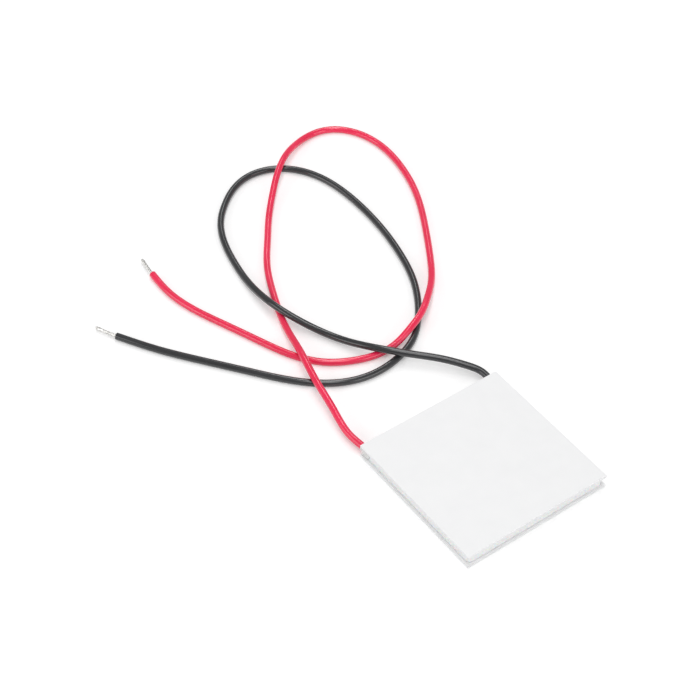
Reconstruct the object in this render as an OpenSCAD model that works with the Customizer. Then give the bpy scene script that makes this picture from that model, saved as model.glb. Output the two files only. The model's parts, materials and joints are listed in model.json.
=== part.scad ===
// Thermoelectric cooling module: a serpentine of semiconductor legs between two
// ceramic plates, sealed round the edge, with two free leads that are stripped
// and tinned at their ends. Sizes are in millimetres.
// +Z is the cold side. The origin is the middle of the hot plate's outer face.
// The leads leave through the -X side, the red one at -Y and the black one at +Y.

/* [Plates] */
// Side of the two square ceramic plates
plate_side = 40; // [36:0.5:48]
// Thickness of each ceramic plate
plate_thickness = 0.7; // [0.5:0.05:1]
// Width of the broken edge round each plate's outer face
plate_edge_break = 0.08; // [0.02:0.01:0.15]

/* [Legs] */
// Legs along each side of the square array
legs_per_side = 16; // [8:2:16]
// Side of a leg's square section
leg_side = 1.4; // [1:0.05:1.7]
// Height of a leg
leg_height = 1.6; // [1.2:0.1:2.5]

/* [Tabs and solder] */
// Thickness of the copper tabs on both plates
tab_thickness = 0.35; // [0.2:0.05:0.5]
// How far a tab stands out past its legs, all round
tab_margin = 0.1; // [0.05:0.01:0.15]
// Thickness of the solder between a tab and its legs
solder_thickness = 0.1; // [0.05:0.01:0.15]

/* [Edge seal] */
// How far the seal's outer face is set back from the plates' edges
seal_recess = 0.5; // [0.3:0.05:0.7]
// Width of the seal, from its outer to its inner face
seal_width = 0.6; // [0.4:0.05:0.8]
// Depth of the hollow that runs along the seal's outer face
seal_hollow = 0.15; // [0.05:0.01:0.25]
// Radius of the seal's outer corners
seal_corner = 1.2; // [0.9:0.1:2]
// Clearance between the seal and the nearest tabs
seal_clearance = 0.1; // [0.05:0.01:0.3]

/* [Leads] */
// Outer diameter of a lead's insulation
lead_diameter = 1.8; // [1.4:0.05:2]
// Diameter of the tinned conductor inside it
conductor_diameter = 0.95; // [0.7:0.05:1.1]
// Distance from the plates' edge to the axis of the nearer lead
lead_inset = 1.4; // [1.3:0.05:1.8]
// Clearance between a lead and what it passes through or over
lead_clearance = 0.02; // [0.01:0.01:0.05]
// Length of bare conductor at a lead's free end
tip_length = 6; // [3:0.5:10]

/* [Lead joints] */
// Solder under a lead's conductor, above the tab's own solder
joint_film = 0.05; // [0.02:0.01:0.1]
// Clearance from a conductor and its solder to the nearest leg
joint_clearance = 0.15; // [0.05:0.01:0.3]
// Wall of the sealant round each lead where it leaves the plates
sealant_wall = 0.3; // [0.1:0.05:0.4]
// How far that sealant stands out past the plates' edge
sealant_reach = 1.3; // [0.8:0.1:2]

/* [Hidden] */
$fn = 48;
lead_sides = 8;

// Heights of the stack, from the hot plate up
hot_tab_z = plate_thickness;
hot_solder_z = hot_tab_z + tab_thickness;
leg_z = hot_solder_z + solder_thickness;
cold_solder_z = leg_z + leg_height;
cold_tab_z = cold_solder_z + solder_thickness;
cold_plate_z = cold_tab_z + tab_thickness;
gap_height = cold_plate_z - plate_thickness;

// The leg array: rows run along X from the lead side, columns along Y
plate_half = plate_side / 2;
seal_outer = plate_half - seal_recess;
seal_inner = seal_outer - seal_width;
tab_width = leg_side + 2 * tab_margin;
last = legs_per_side - 1;
strings = legs_per_side / 2;
pitch = (2 * (seal_inner - seal_clearance) - tab_width) / last;
function place(i) = (i - last / 2) * pitch;
// The two corner places on the lead side hold a lead instead of a leg
function holds_lead(column, row) = row == 0 && (column == 0 || column == last);

// The leads where they enter
conductor_radius = conductor_diameter / 2;
lead_radius = lead_diameter / 2;
lead_y = plate_half - lead_inset;
lead_z = plate_thickness + max(
    tab_thickness + solder_thickness + joint_film + conductor_radius,
    lead_radius + lead_clearance
);
lead_end = [-seal_inner, -lead_y, lead_z];
joint_end_x = place(1) - leg_side / 2 - joint_clearance;
// The bare conductor bends on one arc from the insulation to the middle of its tab
conductor_span = joint_end_x - conductor_radius - lead_end.x;
conductor_shift = place(0) - lead_end.y;
conductor_bend = (pow(conductor_span, 2) + pow(conductor_shift, 2)) / (2 * conductor_shift);
conductor_turn = 2 * atan2(conductor_shift, conductor_span);
sealant_radius = lead_radius + sealant_wall;
sealant_length = plate_half - seal_inner + sealant_reach;

// Where each lead lies past the plates: X, Y and how far it is lifted off the
// surface, in lead diameters, to pass over another stretch of lead
red_route = [
    [-25, -19, 0.45], [-34, -17.7, 0.8], [-43.5, -16, 1.1], [-54, -13.4, 1.1], [-61, -11.5, 0.35],
    [-68, -9.3, 0], [-76.5, -6, 0], [-85, -1.8, 0], [-93, 3.8, 0], [-100, 9, 0.05],
    [-106, 14.3, 0.45], [-110.7, 19, 1], [-115.3, 24.7, 1.1], [-119, 31, 0.4], [-120.6, 37.2, 0],
    [-119.3, 42.5, 0], [-115.6, 46.5, 0], [-110.5, 48.9, 0], [-103.5, 49.8, 0], [-96, 49, 0],
    [-88, 46.9, 0], [-80, 43.5, 0], [-71.5, 38.8, 0], [-62.5, 33.3, 0], [-56, 28.6, 0.3],
    [-50.6, 23.2, 0.9], [-46.5, 17.8, 1.1], [-44.4, 13.2, 1], [-43.2, 7.8, 0.2], [-43.2, 2, 0],
    [-45, -4, 0], [-48.5, -9.7, 0], [-54, -14.2, 0], [-63, -18.3, 0], [-73, -22.2, 0],
    [-82, -25.6, 0], [-90.5, -27.4, 0], [-99, -27.3, 0]
];
black_route = [
    [-23, 18.5, 0.55], [-26.5, 16.7, 0.75], [-31.3, 13.1, 0.95], [-37.3, 7.4, 1.1], [-43.5, 2.1, 1.1],
    [-50, -1.5, 0.5], [-57, -4.8, 0.35], [-63, -7.6, 0.8], [-69.5, -9.6, 1.1], [-76.5, -9.9, 0.6],
    [-84, -9.2, 0.05], [-92, -7.8, 0], [-99.5, -5.6, 0], [-105.7, -2.3, 0], [-110.7, 2.4, 0],
    [-114.5, 7.8, 0], [-116.2, 13.5, 0], [-115.4, 19, 0], [-112.5, 23.7, 0], [-108, 27.2, 0],
    [-101.5, 29.6, 0], [-94, 30.6, 0], [-85.5, 30.6, 0], [-76.5, 29.7, 0], [-68, 28, 0],
    [-60, 25.5, 0], [-53, 21.9, 0], [-46.5, 17, 0], [-42, 11.8, 0], [-39.5, 6, 0],
    [-38.5, -0.5, 0], [-39.4, -7, 0], [-42.3, -13, 0], [-47, -18.5, 0], [-56, -25.8, 0],
    [-66, -33.3, 0], [-75.5, -40.1, 0], [-85.5, -46, 0]
];

function unit(v) = v / norm(v);
function mirrored(v, side) = [v.x, -side * v.y, v.z];
function laid(route) = [for (p = route) [p.x, p.y, (p.z + 0.5) * lead_diameter]];
function lead_path(side, route) = concat(
    [mirrored(lead_end, side), [-plate_half, side * lead_y, lead_z]],
    laid(route)
);
red_path = lead_path(-1, red_route);
black_path = lead_path(1, black_route);

// Direction of a path at point i, midway between the stretches that meet there
function heading(path, i) =
    let (
        arriving = i == 0 ? [0, 0, 0] : unit(path[i] - path[i - 1]),
        leaving = i == len(path) - 1 ? [0, 0, 0] : unit(path[i + 1] - path[i])
    )
    unit(arriving + leaving);
// Corners of the lead's section at point i, with a flat side underneath
function section(path, i) =
    let (
        forward = heading(path, i),
        sideways = unit(cross([0, 0, 1], forward)),
        upward = cross(forward, sideways)
    )
    [for (k = [0:lead_sides - 1])
        let (a = 360 * (k + 0.5) / lead_sides)
        path[i] + lead_radius * (cos(a) * sideways + sin(a) * upward)];

// What is drawn for the lead at -Y, put at the side asked for
module on_side(side) mirror([0, side > 0 ? 1 : 0, 0]) children();

// Square plate with its four edges broken on the face at z = 0
module plate() {
    b = plate_edge_break;
    profile = [
        [b - plate_half, 0], [plate_half - b, 0], [plate_half, b],
        [plate_half, plate_thickness], [-plate_half, plate_thickness], [-plate_half, b]
    ];
    intersection_for (turn = [0, 90])
        rotate([90, 0, turn]) linear_extrude(plate_side, center = true) polygon(profile);
}

module hot_side_plate() color("whitesmoke") plate();

module cold_side_plate() {
    color("whitesmoke") translate([0, 0, cold_plate_z + plate_thickness]) mirror([0, 0, 1]) plate();
}

// Block that covers the places from (column, row) a to b at height z
module strip(a, b, z, thickness) {
    length_x = (b.y - a.y) * pitch + tab_width;
    length_y = (b.x - a.x) * pitch + tab_width;
    translate([place(a.y) - tab_width / 2, place(a.x) - tab_width / 2, z])
        cube([length_x, length_y, thickness]);
}

// Along each column the hot side joins rows 0-1, 2-3 and so on
module hot_strips(column, z, thickness) {
    for (row = [0:2:last - 1])
        if (!holds_lead(column, row)) strip([column, row], [column, row + 1], z, thickness);
}

// The cold side joins rows 1-2, 3-4 and so on
module cold_strips(column, z, thickness) {
    for (row = [1:2:last - 2]) strip([column, row], [column, row + 1], z, thickness);
}

// Turn at the far end of string k, from its first column to its second
module far_turn(k, z, thickness) strip([2 * k - 2, last], [2 * k - 1, last], z, thickness);

// Turn on the lead side that passes the current on from string k to the next
module link_turn(k, z, thickness) strip([2 * k - 1, 0], [2 * k, 0], z, thickness);

module terminal_strip(column, z, thickness) strip([column, 0], [column, 1], z, thickness);

module hot_tabs(k) {
    color("peru") for (column = [2 * k - 2, 2 * k - 1]) hot_strips(column, hot_tab_z, tab_thickness);
}

module cold_tabs(k) {
    color("peru") {
        for (column = [2 * k - 2, 2 * k - 1]) cold_strips(column, cold_tab_z, tab_thickness);
        far_turn(k, cold_tab_z, tab_thickness);
    }
}

module cold_link_tabs() {
    color("peru") for (k = [1:strings - 1]) link_turn(k, cold_tab_z, tab_thickness);
}

module terminal_tab(column) color("peru") terminal_strip(column, hot_tab_z, tab_thickness);

module hot_solder() {
    color("silver") {
        for (column = [0:last]) hot_strips(column, hot_solder_z, solder_thickness);
        for (column = [0, last]) terminal_strip(column, hot_solder_z, solder_thickness);
    }
}

module cold_solder() {
    color("silver") {
        for (column = [0:last]) cold_strips(column, cold_solder_z, solder_thickness);
        for (k = [1:strings]) far_turn(k, cold_solder_z, solder_thickness);
        for (k = [1:strings - 1]) link_turn(k, cold_solder_z, solder_thickness);
    }
}

// The legs of string k whose column and row add up to odd or even
module legs(k, odd) {
    for (column = [2 * k - 2, 2 * k - 1], row = [0:last])
        if ((column + row) % 2 == odd && !holds_lead(column, row))
            translate([place(row) - leg_side / 2, place(column) - leg_side / 2, leg_z])
                cube([leg_side, leg_side, leg_height]);
}

module n_legs(k) color("slategray") legs(k, 1);

module p_legs(k) color("dimgray") legs(k, 0);

// Section of the seal: its inner face at x = 0, and a hollow outer face
module seal_section() {
    hollow_radius = (gap_height * gap_height / 4 + seal_hollow * seal_hollow) / (2 * seal_hollow);
    difference() {
        square([seal_width, gap_height]);
        translate([seal_width - seal_hollow + hollow_radius, gap_height / 2]) circle(hollow_radius, $fn = 360);
    }
}

// One side of the seal and the corner after it
module seal_quarter() {
    straight = 2 * (seal_outer - seal_corner);
    translate([seal_inner, straight / 2, 0])
        rotate([90, 0, 0]) linear_extrude(straight) seal_section();
    translate([straight / 2, straight / 2, 0])
        rotate_extrude(angle = 90) translate([seal_corner - seal_width, 0]) seal_section();
}

module edge_seal() {
    color("white") difference() {
        translate([0, 0, plate_thickness]) for (turn = [0:90:270]) rotate(turn) seal_quarter();
        for (side = [-1, 1]) on_side(side) {
            translate(lead_end) rotate([0, -90, 0]) cylinder(r = sealant_radius, h = sealant_length);
            along_conductor() circle(conductor_radius + lead_clearance);
        }
    }
}

// Sweeps a section, drawn about the conductor's axis, along its bare arc
module along_conductor() {
    translate(lead_end + [0, conductor_bend, 0])
        rotate(-90) rotate_extrude(angle = conductor_turn) translate([conductor_bend, 0]) children();
}

module lead_conductor(side) {
    color("lightgray") on_side(side) along_conductor() circle(conductor_radius);
}

// Solder that holds the conductor on its tab, with a hollow fillet on each side
module lead_joint(side) {
    depth = lead_z - leg_z;
    color("silver") on_side(side) intersection() {
        along_conductor() difference() {
            translate([-tab_width / 2, -depth]) square([tab_width, depth]);
            for (s = [-1, 1])
                translate([s * tab_width / 2, 0]) circle(tab_width / 2 - conductor_radius - joint_film);
            circle(conductor_radius);
        }
        translate([place(0) - tab_width / 2, place(0) - tab_width / 2, leg_z])
            cube([joint_end_x - place(0) + tab_width / 2, tab_width, depth]);
    }
}

// Sealant round a lead: a plug between the plates with a rounded nose outside
module lead_sealant(side) {
    color("ghostwhite") on_side(side) intersection() {
        translate(lead_end) rotate([0, -90, 0]) rotate_extrude() difference() {
            union() {
                square([sealant_radius, sealant_length - sealant_radius]);
                intersection() {
                    translate([0, sealant_length - sealant_radius]) circle(sealant_radius);
                    square([sealant_radius, sealant_length]);
                }
            }
            square([lead_radius + lead_clearance, sealant_length]);
        }
        translate([-plate_side, -plate_side, plate_thickness]) cube([plate_side, plate_side, gap_height]);
    }
}

// Lead swept along its path, a section at each point
module lead(path) {
    count = len(path);
    corners = [for (i = [0:count - 1]) each section(path, i)];
    walls = [for (i = [0:count - 2], k = [0:lead_sides - 1])
        let (here = i * lead_sides, next = (k + 1) % lead_sides)
        [here + k, here + next, here + lead_sides + next, here + lead_sides + k]];
    start_cap = [for (k = [0:lead_sides - 1]) lead_sides - 1 - k];
    end_cap = [for (k = [0:lead_sides - 1]) (count - 1) * lead_sides + k];
    polyhedron(corners, concat(walls, [start_cap, end_cap]), convexity = 10);
}

module red_lead() color("crimson") lead(red_path);

module black_lead() color([0.13, 0.13, 0.14]) lead(black_path);

// Tinned conductor that goes straight on from the end of a lead
module lead_tip(path) {
    end = path[len(path) - 1];
    run = end - path[len(path) - 2];
    color("lightgray") translate(end) rotate([0, 90, atan2(run.y, run.x)]) {
        cylinder(r = conductor_radius, h = tip_length - conductor_radius);
        translate([0, 0, tip_length - conductor_radius]) sphere(conductor_radius);
    }
}

hot_side_plate();
cold_side_plate();
edge_seal();
terminal_tab(0);  // red_terminal_tab
terminal_tab(last);  // black_terminal_tab
cold_link_tabs();
hot_solder();
cold_solder();
lead_conductor(-1);  // red_lead_conductor
lead_conductor(1);  // black_lead_conductor
lead_joint(-1);  // red_lead_joint
lead_joint(1);  // black_lead_joint
lead_sealant(-1);  // red_lead_sealant
lead_sealant(1);  // black_lead_sealant
red_lead();
black_lead();
lead_tip(red_path);  // red_lead_tip
lead_tip(black_path);  // black_lead_tip
for (k = [1:strings]) {
    n_legs(k);
    p_legs(k);
    hot_tabs(k);
    cold_tabs(k);
}
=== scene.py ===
"""Looks of a thermoelectric cooling module: ceramic plates, edge seal and two free leads.

Everything is in metres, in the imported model's own frame: +Z is the cold side, and
the leads leave through the -X side, the red one at -Y and the black one at +Y.
"""

import json
import math

import bpy
import numpy as np
from mathutils import Matrix, Quaternion, Vector, noise

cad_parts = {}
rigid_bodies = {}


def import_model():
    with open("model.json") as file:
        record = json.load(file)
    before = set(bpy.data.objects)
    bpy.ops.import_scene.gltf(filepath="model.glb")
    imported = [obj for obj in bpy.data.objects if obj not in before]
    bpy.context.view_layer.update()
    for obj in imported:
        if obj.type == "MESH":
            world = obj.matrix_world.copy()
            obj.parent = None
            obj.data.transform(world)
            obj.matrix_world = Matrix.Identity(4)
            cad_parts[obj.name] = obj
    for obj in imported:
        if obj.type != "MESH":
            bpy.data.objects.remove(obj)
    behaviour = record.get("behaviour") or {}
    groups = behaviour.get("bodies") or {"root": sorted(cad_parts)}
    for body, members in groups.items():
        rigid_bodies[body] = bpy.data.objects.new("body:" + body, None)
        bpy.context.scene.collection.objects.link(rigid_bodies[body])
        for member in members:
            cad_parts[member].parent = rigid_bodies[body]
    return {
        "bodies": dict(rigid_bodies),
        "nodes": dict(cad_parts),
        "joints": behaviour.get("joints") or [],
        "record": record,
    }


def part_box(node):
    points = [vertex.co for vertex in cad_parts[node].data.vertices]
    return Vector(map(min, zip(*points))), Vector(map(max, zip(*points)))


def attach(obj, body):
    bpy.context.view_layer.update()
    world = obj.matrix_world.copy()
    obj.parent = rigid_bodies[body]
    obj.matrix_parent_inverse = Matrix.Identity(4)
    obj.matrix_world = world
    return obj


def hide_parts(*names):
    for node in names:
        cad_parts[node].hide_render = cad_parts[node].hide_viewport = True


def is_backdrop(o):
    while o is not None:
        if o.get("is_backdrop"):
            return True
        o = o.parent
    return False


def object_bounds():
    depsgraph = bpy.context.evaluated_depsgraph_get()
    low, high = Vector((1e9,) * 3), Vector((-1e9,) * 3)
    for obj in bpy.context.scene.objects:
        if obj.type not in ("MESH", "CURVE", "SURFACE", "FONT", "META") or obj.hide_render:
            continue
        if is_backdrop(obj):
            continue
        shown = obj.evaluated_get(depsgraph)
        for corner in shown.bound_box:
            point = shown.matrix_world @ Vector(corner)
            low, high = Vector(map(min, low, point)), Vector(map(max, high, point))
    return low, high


MM = 0.001

# Camera and light
CAMERA_TARGET = Vector((-0.04895, -0.0019, 0.0))
CAMERA_AZIMUTH = math.radians(-36.21)
CAMERA_ELEVATION = math.radians(46.13)
CAMERA_ROLL = math.radians(0.33)
CAMERA_DISTANCE = 0.4558
CAMERA_LENS = 96.1
FLOOR_SIZE = 6.0
FLOOR_ALBEDO = 0.88
FLOOR_GLOW = 0.22
FAR_GLOW = 0.75
GLOW_STARTS = 0.2
GLOW_IS_FULL = 1.2
WORLD_LIGHT = 0.42
LIT_POINT = (-0.05, 0, 0)
# Each lamp's name, place, width and height, and power in watts
LAMPS = [
    ("overhead_strip", (-0.33, 0.2, 0.8), (0.15, 0.9), 2.3),
    ("front_top", (0.2, -0.18, 0.8), (0.32, 0.32), 1.3),
    ("left_fill", (-0.35, -0.9, 0.4), (0.7, 0.5), 2.8),
    ("right_fill", (0.9, 0.2, 0.4), (0.7, 0.5), 2.8),
]

# Leads
LEAD_DIAMETER = 1.8 * MM
CONDUCTOR_DIAMETER = 0.95 * MM
TIP_LENGTH = 6 * MM
LEAD_SIDES = 20
RING_SPACING = 0.8 * MM
BORE_RADIUS = CONDUCTOR_DIAMETER / 2 + 0.04 * MM
CUT_UNEVENNESS = 0.05 * MM
# The cut end's profile: how far back from the end each ring lies, and its radius
CUT_END = [
    (0.25 * MM, LEAD_DIAMETER / 2),
    (0.06 * MM, LEAD_DIAMETER / 2),
    (0.015 * MM, LEAD_DIAMETER / 2 - 0.03 * MM),
    (0, LEAD_DIAMETER / 2 - 0.08 * MM),
    (0, BORE_RADIUS + 0.04 * MM),
    (0.04 * MM, BORE_RADIUS),
    (1.2 * MM, BORE_RADIUS),
]
# Turns a place into a spot of the noise that no other piece uses
NOISE_SHIFT = 900

# Strands of the stripped tips: one core, and the others round it
STRANDS = 7
STRAND_RADIUS = 0.155 * MM
STRAND_REACH = 0.27 * MM
STRAND_SPREAD = 0.3 * MM
SPREAD_STARTS = 0.6
STRAND_PITCH = 5.5 * MM
STRAND_BURIED = 1.0 * MM
STRAND_UNEVENNESS = 0.5 * MM
STRAND_STEPS = 36
STRAND_SIDES = 10
RED_TIP_BEND = -0.3 * MM
BLACK_TIP_BEND = -0.4 * MM

# Edge seal
SEAL_CORNER = 1.2 * MM
SEAL_WIDTH = 0.6 * MM
SEAL_HOLLOW = 0.15 * MM
SEAL_LEVELS = 9
SEAL_SPACING = 0.35 * MM
SEAL_CORNER_STEPS = 10
# Waves of the seal's face: how many radians of noise a metre, and their height
SEAL_WAVES = [(260, 0.07 * MM), (1300, 0.025 * MM)]

# Sealant dabs, in millimetres, for the lead at +Y: the centre and radii of the lumps
# that run together, which are a plug, a collar on the lead, a smear beside it, a
# filled corner and a smear round that corner
SEALANT_LUMPS = [
    ((-19.4, 18.6, 1.9), (0.9, 1.3, 1.5)),
    ((-20.35, 18.55, 1.75), (0.85, 1.15, 1.05)),
    ((-20.0, 17.7, 1.8), (0.55, 0.8, 0.9)),
    ((-19.3, 19.3, 1.9), (0.55, 0.6, 1.5)),
    ((-18.4, 19.45, 1.9), (1.4, 0.35, 1.4)),
]
LUMP_ROWS = 14
LUMP_COLUMNS = 24
SEALANT_VOXEL = 0.11 * MM
SEALANT_UNEVENNESS = 0.08 * MM
SEALANT_FILM = 0.01 * MM

# The material of each CAD node that has one of these words in its name
NODE_MATERIALS = {
    "plate": "alumina",
    "tab": "copper",
    "solder": "solder",
    "joint": "solder",
    "n_legs": "n_type",
    "p_legs": "p_type",
    "conductor": "tinned",
}

# Where each lead goes: its inner end, the plates' edge, and then X, Y and how far it
# is lifted off the floor, in lead diameters, to pass over another stretch of lead
LEAD_INNER_X = -0.0189
PLATE_EDGE_X = -0.02
LEAD_Y = 0.0186
LEAD_Z = 0.001675
RED_ROUTE = [
    (-0.025, -0.019, 0.45), (-0.034, -0.0177, 0.8), (-0.0435, -0.016, 1.1), (-0.054, -0.0134, 1.1),
    (-0.061, -0.0115, 0.35), (-0.068, -0.0093, 0), (-0.0765, -0.006, 0), (-0.085, -0.0018, 0),
    (-0.093, 0.0038, 0), (-0.1, 0.009, 0.05), (-0.106, 0.0143, 0.45), (-0.1107, 0.019, 1),
    (-0.1153, 0.0247, 1.1), (-0.119, 0.031, 0.4), (-0.1206, 0.0372, 0), (-0.1193, 0.0425, 0),
    (-0.1156, 0.0465, 0), (-0.1105, 0.0489, 0), (-0.1035, 0.0498, 0), (-0.096, 0.049, 0),
    (-0.088, 0.0469, 0), (-0.08, 0.0435, 0), (-0.0715, 0.0388, 0), (-0.0625, 0.0333, 0),
    (-0.056, 0.0286, 0.3), (-0.0506, 0.0232, 0.9), (-0.0465, 0.0178, 1.1), (-0.0444, 0.0132, 1),
    (-0.0432, 0.0078, 0.2), (-0.0432, 0.002, 0), (-0.045, -0.004, 0), (-0.0485, -0.0097, 0),
    (-0.054, -0.0142, 0), (-0.063, -0.0183, 0), (-0.073, -0.0222, 0), (-0.082, -0.0256, 0),
    (-0.0905, -0.0274, 0), (-0.099, -0.0273, 0),
]
BLACK_ROUTE = [
    (-0.023, 0.0185, 0.55), (-0.0265, 0.0167, 0.75), (-0.0313, 0.0131, 0.95), (-0.0373, 0.0074, 1.1),
    (-0.0435, 0.0021, 1.1), (-0.05, -0.0015, 0.5), (-0.057, -0.0048, 0.35), (-0.063, -0.0076, 0.8),
    (-0.0695, -0.0096, 1.1), (-0.0765, -0.0099, 0.6), (-0.084, -0.0092, 0.05), (-0.092, -0.0078, 0),
    (-0.0995, -0.0056, 0), (-0.1057, -0.0023, 0), (-0.1107, 0.0024, 0), (-0.1145, 0.0078, 0),
    (-0.1162, 0.0135, 0), (-0.1154, 0.019, 0), (-0.1125, 0.0237, 0), (-0.108, 0.0272, 0),
    (-0.1015, 0.0296, 0), (-0.094, 0.0306, 0), (-0.0855, 0.0306, 0), (-0.0765, 0.0297, 0),
    (-0.068, 0.028, 0), (-0.06, 0.0255, 0), (-0.053, 0.0219, 0), (-0.0465, 0.017, 0),
    (-0.042, 0.0118, 0), (-0.0395, 0.006, 0), (-0.0385, -0.0005, 0), (-0.0394, -0.007, 0),
    (-0.0423, -0.013, 0), (-0.047, -0.0185, 0), (-0.056, -0.0258, 0), (-0.066, -0.0333, 0),
    (-0.0755, -0.0401, 0), (-0.0855, -0.046, 0),
]


# ---------------------------------------------------------------- curves and meshes

def smooth_path(points, step):
    """Natural cubic curve through the points, sampled at even steps along its length."""
    knots = np.array(points, float)
    chord = np.linalg.norm(np.diff(knots, axis=0), axis=1)
    at = np.concatenate([[0], np.cumsum(chord)])
    count = len(knots)
    system = np.eye(count)
    rhs = np.zeros_like(knots)
    for i in range(1, count - 1):
        before, after = chord[i - 1], chord[i]
        system[i, i - 1:i + 2] = before, 2 * (before + after), after
        rhs[i] = 6 * ((knots[i + 1] - knots[i]) / after - (knots[i] - knots[i - 1]) / before)
    second = np.linalg.solve(system, rhs)

    fine = np.linspace(0, at[-1], 20 * count)
    i = np.clip(np.searchsorted(at, fine) - 1, 0, count - 2)
    width = chord[i][:, None]
    b = (fine - at[i])[:, None] / width
    a = 1 - b
    curve = a * knots[i] + b * knots[i + 1] + (
        (a ** 3 - a) * second[i] + (b ** 3 - b) * second[i + 1]) * width ** 2 / 6

    run = np.concatenate([[0], np.cumsum(np.linalg.norm(np.diff(curve, axis=0), axis=1))])
    even = np.linspace(0, run[-1], int(run[-1] / step) + 1)
    return np.stack([np.interp(even, run, curve[:, axis]) for axis in range(3)], axis=1)


def lead_path(side, route):
    """Centreline of a lead, which never sinks into the floor."""
    knots = [(LEAD_INNER_X, side * LEAD_Y, LEAD_Z), (PLATE_EDGE_X, side * LEAD_Y, LEAD_Z)]
    knots += [(x, y, (lift + 0.5) * LEAD_DIAMETER) for x, y, lift in route]
    path = smooth_path(knots, RING_SPACING)
    path[:, 2] = np.maximum(path[:, 2], LEAD_DIAMETER / 2)
    return path


def frames_along(path):
    """Tangent, sideways and upward unit vectors at each point, carried on without a twist."""
    points = [Vector(p) for p in path]
    frames = []
    up = Vector((0, 0, 1))
    for i in range(len(points)):
        tangent = (points[min(i + 1, len(points) - 1)] - points[max(i - 1, 0)]).normalized()
        sideways = up.cross(tangent).normalized()
        up = tangent.cross(sideways)
        frames.append((points[i], tangent, sideways, up))
    return frames


def ring(frame, radius, sides, forward=0.0):
    """A circle of points round a frame; forward may depend on the angle."""
    centre, tangent, sideways, up = frame
    points = []
    for k in range(sides):
        angle = 2 * math.pi * k / sides
        ahead = forward(angle) if callable(forward) else forward
        outward = math.cos(angle) * sideways + math.sin(angle) * up
        points.append(centre + ahead * tangent + radius * outward)
    return points


def skin(rings):
    """Vertices and faces of a closed skin over rings of points, capped at both ends."""
    sides = len(rings[0])
    verts = [p for one in rings for p in one]
    faces = []
    for i in range(len(rings) - 1):
        for k in range(sides):
            here, after = i * sides, (k + 1) % sides
            faces.append((here + k, here + after, here + sides + after, here + sides + k))
    faces.append(tuple(reversed(range(sides))))
    faces.append(tuple(range(len(verts) - sides, len(verts))))
    return verts, faces


def mesh_piece(name, verts, faces, material):
    """A visible piece that rides on the module's one body."""
    mesh = bpy.data.meshes.new(name)
    mesh.from_pydata([tuple(v) for v in verts], [], faces)
    mesh.update()
    mesh.polygons.foreach_set("use_smooth", [True] * len(mesh.polygons))
    piece = bpy.data.objects.new(name, mesh)
    bpy.context.scene.collection.objects.link(piece)
    mesh.materials.append(material)
    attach(piece, "root")
    return piece


def joined(skins):
    """Vertices and faces of several skins as one mesh."""
    verts, faces = [], []
    for some_verts, some_faces in skins:
        first = len(verts)
        verts += some_verts
        faces += [tuple(first + v for v in face) for face in some_faces]
    return verts, faces


def store_run(piece, along, around):
    """Keeps, at each vertex, how far along and round a lead it lies, for the material."""
    values = piece.data.attributes.new("lead_run", "FLOAT_VECTOR", "POINT")
    flat = [c for a, t in zip(along, around) for c in (a, math.cos(t), math.sin(t))]
    values.data.foreach_set("vector", flat)


# ---------------------------------------------------------------- materials

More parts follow.
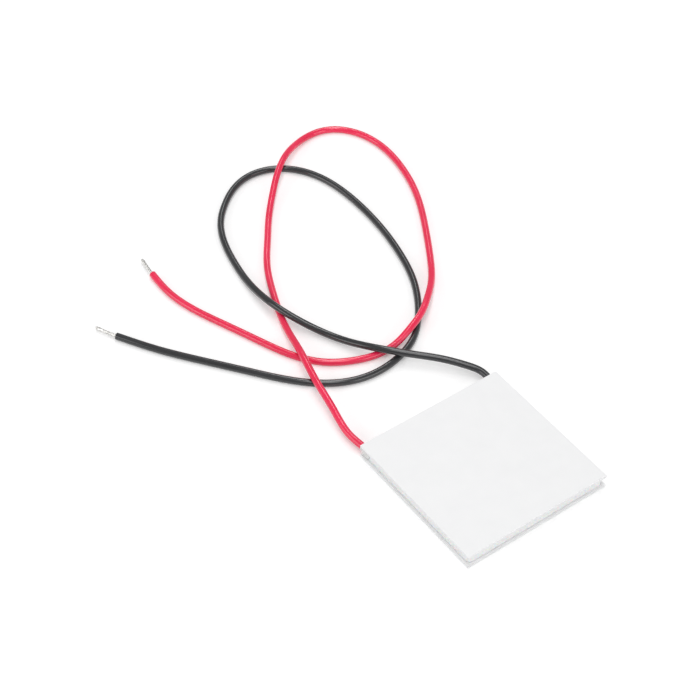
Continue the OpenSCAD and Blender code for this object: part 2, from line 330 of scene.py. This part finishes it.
class Shader:
    """A material with one Principled shader and short calls that add nodes to it."""

    def __init__(self, name, **constants):
        self.material = bpy.data.materials.new(name)
        self.material.use_nodes = True
        self.tree = self.material.node_tree
        self.principled = self.tree.nodes["Principled BSDF"]
        for socket, value in constants.items():
            self.principled.inputs[socket.replace("_", " ")].default_value = value

    def add(self, kind, inputs=None, **settings):
        """A new node; inputs gives values or the sockets that feed it."""
        node = self.tree.nodes.new(kind)
        for key, value in settings.items():
            setattr(node, key, value)
        for key, value in (inputs or {}).items():
            if isinstance(value, bpy.types.NodeSocket):
                self.tree.links.new(value, node.inputs[key])
            else:
                node.inputs[key].default_value = value
        return node

    def place(self, stretch=(1, 1, 1)):
        """Coordinates in the piece's own frame, in millimetres, stretched along an axis."""
        coords = self.add("ShaderNodeTexCoord").outputs["Object"]
        scale = [s / MM for s in stretch]
        return self.add("ShaderNodeMapping", {"Vector": coords, "Scale": scale}).outputs["Vector"]

    def run(self, stretch=(1, 1, 1)):
        """Coordinates along and round a lead, in millimetres along and in radii across."""
        coords = self.add("ShaderNodeAttribute", attribute_name="lead_run").outputs["Vector"]
        return self.add("ShaderNodeMapping", {"Vector": coords, "Scale": stretch}).outputs["Vector"]

    def noise(self, coords, scale, detail=3.0, roughness=0.5):
        inputs = {"Vector": coords, "Scale": scale, "Detail": detail, "Roughness": roughness}
        return self.add("ShaderNodeTexNoise", inputs).outputs["Fac"]

    def cells(self, coords, scale, output="Color"):
        inputs = {"Vector": coords, "Scale": scale}
        return self.add("ShaderNodeTexVoronoi", inputs).outputs[output]

    def ramp(self, factor, *stops):
        """Colours at places along a factor, as (place, colour) pairs."""
        node = self.add("ShaderNodeValToRGB", {"Fac": factor})
        elements = node.color_ramp.elements
        while len(elements) < len(stops):
            elements.new(0.5)
        for element, (at, colour) in zip(elements, stops):
            element.position = at
            element.color = (*colour, 1)
        return node.outputs["Color"]

    def span(self, factor, low, high, from_low=0.0, from_high=1.0):
        """A factor mapped onto a range of values."""
        inputs = {"Value": factor, "From Min": from_low, "From Max": from_high,
                  "To Min": low, "To Max": high}
        return self.add("ShaderNodeMapRange", inputs).outputs["Result"]

    def maths(self, operation, a, b=0.0):
        return self.add("ShaderNodeMath", {0: a, 1: b}, operation=operation).outputs[0]

    def blend(self, factor, a, b):
        """Colour a turning into colour b as the factor goes from 0 to 1."""
        node = self.add("ShaderNodeMix", data_type="RGBA")
        for index, value in ((0, factor), (6, a), (7, b)):
            if isinstance(value, bpy.types.NodeSocket):
                self.tree.links.new(value, node.inputs[index])
            else:
                node.inputs[index].default_value = value if index == 0 else (*value, 1)
        return node.outputs[2]

    def bump(self, height, distance, strength=1.0, normal=None):
        """A relief whose full height is the distance, in metres."""
        inputs = {"Height": height, "Distance": distance, "Strength": strength}
        if normal is not None:
            inputs["Normal"] = normal
        return self.add("ShaderNodeBump", inputs).outputs["Normal"]

    def feed(self, **sockets):
        for socket, value in sockets.items():
            self.tree.links.new(value, self.principled.inputs[socket.replace("_", " ")])
        return self.material


def alumina_material():
    """White fired alumina: faint mottling, fine grain and a few grey specks."""
    s = Shader("fired_alumina", IOR=1.7, Specular_IOR_Level=0.35)
    place = s.place()
    mottle = s.noise(place, 0.22, 4.0, 0.55)
    colour = s.ramp(mottle, (0.3, (0.866, 0.868, 0.874)), (0.7, (0.886, 0.887, 0.892)))
    speck = s.cells(place, 0.9, "Distance")
    speck = s.span(speck, 1.0, 0.0, 0.02, 0.05)
    colour = s.blend(s.maths("MULTIPLY", speck, 0.3), colour, (0.55, 0.54, 0.52))
    grain = s.noise(place, 9.0, 5.0, 0.65)
    roughness = s.span(grain, 0.42, 0.58, 0.3, 0.7)
    normal = s.bump(grain, 0.012 * MM, 0.6)
    return s.feed(Base_Color=colour, Roughness=roughness, Normal=normal)


def seal_material():
    """White silicone: satin, slightly cloudy, with a soft skin."""
    s = Shader("seal_silicone", IOR=1.41, Subsurface_Weight=0.15, Subsurface_Scale=0.4 * MM)
    place = s.place()
    cloud = s.noise(place, 0.8, 3.0)
    colour = s.ramp(cloud, (0.35, (0.90, 0.902, 0.90)), (0.7, (0.94, 0.942, 0.94)))
    skin_noise = s.noise(place, 3.5, 4.0)
    roughness = s.span(skin_noise, 0.36, 0.55, 0.3, 0.7)
    normal = s.bump(skin_noise, 0.05 * MM, 0.5)
    return s.feed(Base_Color=colour, Roughness=roughness, Normal=normal)


def sealant_material():
    """Milky clear silicone that lets the lead's colour through."""
    s = Shader("lead_sealant", IOR=1.41, Transmission_Weight=0.2)
    place = s.place()
    cloud = s.noise(place, 1.6, 3.0)
    colour = s.ramp(cloud, (0.3, (0.88, 0.89, 0.88)), (0.7, (0.95, 0.95, 0.94)))
    roughness = s.span(cloud, 0.16, 0.34, 0.3, 0.7)
    normal = s.bump(s.noise(place, 4.0, 2.0), 0.06 * MM, 0.4)
    return s.feed(Base_Color=colour, Roughness=roughness, Normal=normal)


def insulation_material(name, dark, light, scuffed):
    """Glossy PVC: extrusion streaks along the lead, faint strands under it and light scuffs."""
    s = Shader(name, IOR=1.53, Coat_Weight=0.15, Coat_Roughness=0.12)
    streaks = s.noise(s.run((0.03, 3, 3)), 1.6, 4.0, 0.6)
    patches = s.noise(s.run((0.16, 0.5, 0.5)), 1.0, 2.0)
    colour = s.ramp(patches, (0.3, dark), (0.7, light))
    scuffs = s.noise(s.run((0.5, 1.2, 1.2)), 1.7, 6.0, 0.7)
    worn = s.span(scuffs, 0.0, 0.5, 0.6, 0.75)
    colour = s.blend(worn, colour, scuffed)
    roughness = s.maths("ADD", s.span(streaks, 0.15, 0.24, 0.3, 0.7), s.maths("MULTIPLY", worn, 0.25))
    normal = s.bump(streaks, 0.01 * MM, 0.5)
    normal = s.bump(patches, 0.05 * MM, 0.4, normal)
    return s.feed(Base_Color=colour, Roughness=roughness, Normal=normal)


def red_insulation_material():
    return insulation_material(
        "red_insulation", (0.82, 0.016, 0.072), (0.90, 0.024, 0.095), (0.90, 0.12, 0.18))


def black_insulation_material():
    return insulation_material(
        "black_insulation", (0.022, 0.023, 0.025), (0.034, 0.035, 0.038), (0.08, 0.08, 0.085))


def tinned_material():
    """Strands under a thin coat of solder: bright, with duller grey patches."""
    s = Shader("tinned_copper", Metallic=1.0)
    place = s.place()
    patches = s.noise(place, 2.2, 4.0)
    colour = s.ramp(patches, (0.3, (0.60, 0.59, 0.57)), (0.65, (0.83, 0.82, 0.80)))
    roughness = s.span(patches, 0.42, 0.22, 0.3, 0.7)
    normal = s.bump(s.noise(place, 7.0, 3.0), 0.02 * MM, 0.5)
    return s.feed(Base_Color=colour, Roughness=roughness, Normal=normal)


def copper_material():
    """Rolled copper tabs: fine lines along X and darker spots where flux has dried."""
    s = Shader("copper_tab", Metallic=1.0)
    lines = s.noise(s.place((0.15, 4, 4)), 2.0, 4.0, 0.6)
    spots = s.noise(s.place(), 0.9, 4.0)
    colour = s.ramp(spots, (0.32, (0.42, 0.19, 0.11)), (0.55, (0.79, 0.41, 0.27)))
    roughness = s.span(lines, 0.25, 0.45, 0.3, 0.7)
    normal = s.bump(lines, 0.01 * MM, 0.5)
    return s.feed(Base_Color=colour, Roughness=roughness, Normal=normal)


def solder_material():
    """Soft grey solder with a frosty surface."""
    s = Shader("solder", Metallic=1.0)
    frost = s.noise(s.place(), 3.0, 5.0, 0.6)
    colour = s.ramp(frost, (0.3, (0.50, 0.50, 0.50)), (0.7, (0.70, 0.70, 0.69)))
    roughness = s.span(frost, 0.28, 0.5, 0.3, 0.7)
    normal = s.bump(frost, 0.03 * MM, 0.5)
    return s.feed(Base_Color=colour, Roughness=roughness, Normal=normal)


def telluride_material(name, dark, light):
    """Bismuth telluride: grey crystal plates that catch the light, with saw lines."""
    s = Shader(name, Metallic=0.85)
    crystals = s.cells(s.place((1, 1, 0.4)), 3.2)
    tone = s.add("ShaderNodeSeparateColor", {"Color": crystals}).outputs[0]
    colour = s.ramp(tone, (0.0, dark), (1.0, light))
    saw = s.noise(s.place((0.3, 0.3, 6)), 2.0, 3.0)
    roughness = s.span(tone, 0.25, 0.5)
    normal = s.bump(saw, 0.01 * MM, 0.4)
    return s.feed(Base_Color=colour, Roughness=roughness, Normal=normal)


# ---------------------------------------------------------------- camera, light and floor

def make_camera():
    data = bpy.data.cameras.new("camera")
    data.lens = CAMERA_LENS
    data.clip_start = 0.01
    camera = bpy.data.objects.new("camera", data)
    out = Vector((
        math.cos(CAMERA_ELEVATION) * math.cos(CAMERA_AZIMUTH),
        math.cos(CAMERA_ELEVATION) * math.sin(CAMERA_AZIMUTH),
        math.sin(CAMERA_ELEVATION),
    ))
    camera.location = CAMERA_TARGET + CAMERA_DISTANCE * out
    camera.rotation_mode = "QUATERNION"
    camera.rotation_quaternion = out.to_track_quat("Z", "Y") @ Quaternion((0, 0, 1), CAMERA_ROLL)
    bpy.context.scene.collection.objects.link(camera)
    bpy.context.scene.camera = camera


def seen_directly(tree):
    """1 where the camera looks, straight or through a reflection or clear plastic, else 0."""
    path = tree.nodes.new("ShaderNodeLightPath")
    total = path.outputs["Is Camera Ray"]
    for name in ("Is Glossy Ray", "Is Transmission Ray"):
        add = tree.nodes.new("ShaderNodeMath")
        add.operation = "MAXIMUM"
        tree.links.new(total, add.inputs[0])
        tree.links.new(path.outputs[name], add.inputs[1])
        total = add.outputs[0]
    return total


def far_glow(tree):
    """The floor's glow, which grows with the distance from the middle as the lamps fade."""
    coords = tree.nodes.new("ShaderNodeTexCoord")
    reach = tree.nodes.new("ShaderNodeVectorMath")
    reach.operation = "LENGTH"
    tree.links.new(coords.outputs["Object"], reach.inputs[0])
    span = tree.nodes.new("ShaderNodeMapRange")
    tree.links.new(reach.outputs["Value"], span.inputs["Value"])
    span.inputs["From Min"].default_value = GLOW_STARTS
    span.inputs["From Max"].default_value = GLOW_IS_FULL
    span.inputs["To Min"].default_value = FLOOR_GLOW
    span.inputs["To Max"].default_value = FAR_GLOW
    return span.outputs["Result"]


def make_floor():
    """White floor that keeps the shadows and reads as white where nothing shades it."""
    material = bpy.data.materials.new("floor")
    material.use_nodes = True
    tree = material.node_tree
    tree.nodes.clear()
    matt = tree.nodes.new("ShaderNodeBsdfDiffuse")
    matt.inputs["Color"].default_value = (FLOOR_ALBEDO, FLOOR_ALBEDO, FLOOR_ALBEDO, 1)
    glow = tree.nodes.new("ShaderNodeEmission")
    strength = tree.nodes.new("ShaderNodeMath")
    strength.operation = "MULTIPLY"
    tree.links.new(seen_directly(tree), strength.inputs[0])
    tree.links.new(far_glow(tree), strength.inputs[1])
    tree.links.new(strength.outputs[0], glow.inputs["Strength"])
    both = tree.nodes.new("ShaderNodeAddShader")
    out = tree.nodes.new("ShaderNodeOutputMaterial")
    tree.links.new(matt.outputs[0], both.inputs[0])
    tree.links.new(glow.outputs[0], both.inputs[1])
    tree.links.new(both.outputs[0], out.inputs["Surface"])

    half = FLOOR_SIZE / 2
    mesh = bpy.data.meshes.new("floor")
    corners = [(-half, -half, 0), (half, -half, 0), (half, half, 0), (-half, half, 0)]
    mesh.from_pydata(corners, [], [(0, 1, 2, 3)])
    mesh.materials.append(material)
    floor = bpy.data.objects.new("floor", mesh)
    bpy.context.scene.collection.objects.link(floor)
    floor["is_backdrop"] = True


def make_world():
    """Even light all round, which reads as white where the camera sees it."""
    world = bpy.data.worlds.new("studio")
    bpy.context.scene.world = world
    world.use_nodes = True
    tree = world.node_tree
    background = tree.nodes["Background"]
    background.inputs["Color"].default_value = (1, 1, 1, 1)
    path = tree.nodes.new("ShaderNodeLightPath")
    strength = tree.nodes.new("ShaderNodeMapRange")
    strength.inputs["To Min"].default_value = WORLD_LIGHT
    strength.inputs["To Max"].default_value = 1.0
    tree.links.new(path.outputs["Is Camera Ray"], strength.inputs["Value"])
    tree.links.new(strength.outputs["Result"], background.inputs["Strength"])


def softbox(name, place, target, size, power):
    """A rectangular area light that faces the target."""
    light = bpy.data.lights.new(name, "AREA")
    light.shape = "RECTANGLE"
    light.size, light.size_y = size
    light.energy = power
    lamp = bpy.data.objects.new(name, light)
    lamp.location = place
    lamp.rotation_mode = "QUATERNION"
    lamp.rotation_quaternion = (Vector(place) - Vector(target)).to_track_quat("Z", "Y")
    bpy.context.scene.collection.objects.link(lamp)


def make_lights():
    for name, place, size, power in LAMPS:
        softbox(name, place, LIT_POINT, size, power)


# ---------------------------------------------------------------- leads

def insulation(name, path, material):
    """Insulation with a cut end that shows its wall, and a bore for the strands."""
    frames = frames_along(path)
    along = np.concatenate([[0], np.cumsum(np.linalg.norm(np.diff(path, axis=0), axis=1))])
    rings = [ring(frame, LEAD_DIAMETER / 2, LEAD_SIDES) for frame in frames[:-1]]
    runs = list(along[:-1])
    shift = path[0][1] * NOISE_SHIFT

    def ragged(angle):
        return CUT_UNEVENNESS * noise.noise(Vector((2 * math.cos(angle), 2 * math.sin(angle), shift)))

    for back, radius in CUT_END:
        rings.append(ring(frames[-1], radius, LEAD_SIDES, lambda a, back=back: ragged(a) - back))
        runs.append(along[-1] - back)
    verts, faces = skin(rings)
    piece = mesh_piece(name, verts, faces, material)
    angles = [2 * math.pi * k / LEAD_SIDES for _ in rings for k in range(LEAD_SIDES)]
    store_run(piece, [r / MM for r in runs for _ in range(LEAD_SIDES)], angles)
    return piece


def strand_offset(strand, along):
    """Where a strand lies across the conductor, how far along it: one core, six round it."""
    if strand == 0:
        return 0.0, 0.0
    angle = 2 * math.pi * (strand / (STRANDS - 1) + along / STRAND_PITCH)
    opening = max(0.0, along / TIP_LENGTH - SPREAD_STARTS)
    looseness = 0.4 + 0.6 * noise.cell(Vector((strand, 3, 7)))
    reach = STRAND_REACH + STRAND_SPREAD * opening * looseness
    return reach * math.cos(angle), reach * math.sin(angle)


def strand_skin(strand, end, axes, bend):
    """One strand, from inside the insulation to its own uneven, rounded end."""
    tangent, sideways, up = axes
    cut = STRAND_UNEVENNESS * abs(noise.noise(Vector((strand * 1.7, 5.1, bend * NOISE_SHIFT))))
    line = []
    for i in range(STRAND_STEPS + 1):
        along = -STRAND_BURIED + (TIP_LENGTH - cut + STRAND_BURIED) * i / STRAND_STEPS
        across, lift = strand_offset(strand, along)
        drift = bend * max(0.0, along / TIP_LENGTH) ** 2
        line.append(end + along * tangent + (across + drift) * sideways + lift * up)
    frames = frames_along(line)
    rings = [ring(frame, STRAND_RADIUS, STRAND_SIDES) for frame in frames]
    rings.append(ring(frames[-1], STRAND_RADIUS * 0.7, STRAND_SIDES, STRAND_RADIUS * 0.55))
    return skin(rings)


def stripped_tip(name, path, material, bend):
    """Twisted strands that a coat of solder holds together, a little open at the end."""
    end = Vector(path[-1])
    tangent = (end - Vector(path[-3])).normalized()
    sideways = Vector((0, 0, 1)).cross(tangent).normalized()
    axes = (tangent, sideways, tangent.cross(sideways))
    verts, faces = joined([strand_skin(k, end, axes, bend) for k in range(STRANDS)])
    return mesh_piece(name, verts, faces, material)


# ---------------------------------------------------------------- seal and sealant

def rounded_square(half, corner, spacing):
    """Points and outward directions round a square with round corners."""
    loop = []
    flat = half - corner
    straight_steps = int(2 * flat / spacing)
    for quarter in range(4):
        turn = Matrix.Rotation(quarter * math.pi / 2, 2)
        for i in range(straight_steps):
            y = -flat + 2 * flat * i / straight_steps
            loop.append((turn @ Vector((half, y)), turn @ Vector((1, 0))))
        for i in range(SEAL_CORNER_STEPS):
            a = math.pi / 2 * i / SEAL_CORNER_STEPS
            out = Vector((math.cos(a), math.sin(a)))
            loop.append((turn @ (Vector((flat, flat)) + corner * out), turn @ out))
    return loop


def seal_section(point, out, low_z, high_z):
    """The seal's section at a point of its outline: a hollow, wavy outer face, then the inner one."""
    wave = sum(noise.noise(Vector((point.x, point.y, 0)) * rate) * height for rate, height in SEAL_WAVES)
    section = []
    for i in range(SEAL_LEVELS + 1):
        t = i / SEAL_LEVELS
        pull = SEAL_HOLLOW * (1 - (2 * t - 1) ** 2)
        uneven = wave * (0.6 + 0.4 * math.sin(math.pi * t))
        spot = point - (pull - uneven) * out
        section.append(Vector((spot.x, spot.y, low_z + (high_z - low_z) * t)))
    inner = point - SEAL_WIDTH * out
    return section + [Vector((inner.x, inner.y, high_z)), Vector((inner.x, inner.y, low_z))]


def edge_seal(material):
    """Silicone pressed in between the plates: hollow outside, a little uneven."""
    low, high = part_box("edge_seal")
    outline = rounded_square(high.x, SEAL_CORNER, SEAL_SPACING)
    sections = [seal_section(point, out, low.z, high.z) for point, out in outline]
    sides = len(sections[0])
    faces = []
    for i in range(len(sections)):
        here, there = i * sides, (i + 1) % len(sections) * sides
        for k in range(sides):
            after = (k + 1) % sides
            faces.append((here + k, there + k, there + after, here + after))
    verts = [p for section in sections for p in section]
    piece = mesh_piece("edge_seal_bead", verts, faces, material)
    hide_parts("edge_seal")


def baked(piece):
    """Applies a piece's modifiers to its mesh."""
    graph = bpy.context.evaluated_depsgraph_get()
    done = bpy.data.meshes.new_from_object(piece.evaluated_get(graph))
    piece.modifiers.clear()
    piece.data = done


def lump_skin(centre, radii, side):
    """An ellipsoid, given in millimetres for +Y, on the side asked for."""
    rings = []
    for i in range(1, LUMP_ROWS):
        down = math.pi * i / LUMP_ROWS
        row = []
        for k in range(LUMP_COLUMNS):
            turn = 2 * math.pi * k / LUMP_COLUMNS
            row.append(MM * Vector((
                centre[0] + radii[0] * math.sin(down) * math.cos(turn),
                side * (centre[1] + radii[1] * math.sin(down) * math.sin(turn)),
                centre[2] + radii[2] * math.cos(down),
            )))
        rings.append(row)
    verts, faces = skin(rings)
    return verts, (faces if side < 0 else [face[::-1] for face in faces])


def roughen_between_plates(mesh):
    """Makes the dab uneven, and keeps it between the plates where they cover it."""
    plate_low, plate_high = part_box("cold_side_plate")
    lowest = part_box("hot_side_plate")[1].z + SEALANT_FILM
    highest = plate_low.z - SEALANT_FILM
    for vertex in mesh.vertices:
        co = vertex.co
        co += vertex.normal * noise.noise(co / MM * 0.9) * SEALANT_UNEVENNESS
        if abs(co.x) < plate_high.x and abs(co.y) < plate_high.y:
            co.z = min(max(co.z, lowest), highest)


def sealant_dab(name, side, material):
    """A soft lump that fills the seal's corner and climbs a little way onto the lead."""
    verts, faces = joined([lump_skin(centre, radii, side) for centre, radii in SEALANT_LUMPS])
    piece = mesh_piece(name, verts, faces, material)
    remesh = piece.modifiers.new("blend", "REMESH")
    remesh.mode = "VOXEL"
    remesh.voxel_size = SEALANT_VOXEL
    remesh.use_smooth_shade = True
    soften = piece.modifiers.new("soften", "SMOOTH")
    soften.factor = 0.6
    soften.iterations = 8
    baked(piece)
    roughen_between_plates(piece.data)
    return piece


# ---------------------------------------------------------------- the module

def finish_cad_nodes(frame, materials):
    """Gives each CAD node whose name holds one of the listed words that word's material, in all its
    slots.
    """
    for name, node in frame["nodes"].items():
        for word, kind in NODE_MATERIALS.items():
            if word in name:
                for slot in node.material_slots:
                    slot.material = materials[kind]


def make_lead(colour, side, route, material, materials, bend):
    """A lead with its stripped tip and sealant dab."""
    path = lead_path(side, route)
    lead = insulation(f"{colour}_insulation", path, material)
    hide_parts(f"{colour}_lead")
    tip = stripped_tip(f"{colour}_stripped_strands", path, materials["tinned"], bend)
    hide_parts(f"{colour}_lead_tip")
    dab = sealant_dab(f"{colour}_sealant_dab", side, materials["sealant"])
    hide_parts(f"{colour}_lead_sealant")


def build():
    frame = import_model()
    cad_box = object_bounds()
    bpy.context.scene.view_settings.view_transform = "Standard"
    make_camera()
    materials = {
        "alumina": alumina_material(),
        "seal": seal_material(),
        "sealant": sealant_material(),
        "copper": copper_material(),
        "solder": solder_material(),
        "n_type": telluride_material("n_type", (0.16, 0.17, 0.19), (0.42, 0.44, 0.47)),
        "p_type": telluride_material("p_type", (0.12, 0.12, 0.13), (0.36, 0.36, 0.37)),
        "tinned": tinned_material(),
    }
    red, black = red_insulation_material(), black_insulation_material()
    make_lead("red", -1, RED_ROUTE, red, materials, RED_TIP_BEND)
    make_lead("black", 1, BLACK_ROUTE, black, materials, BLACK_TIP_BEND)
    edge_seal(materials["seal"])
    finish_cad_nodes(frame, materials)
    make_world()
    make_floor()
    make_lights()
    return cad_box


cad_box = build()
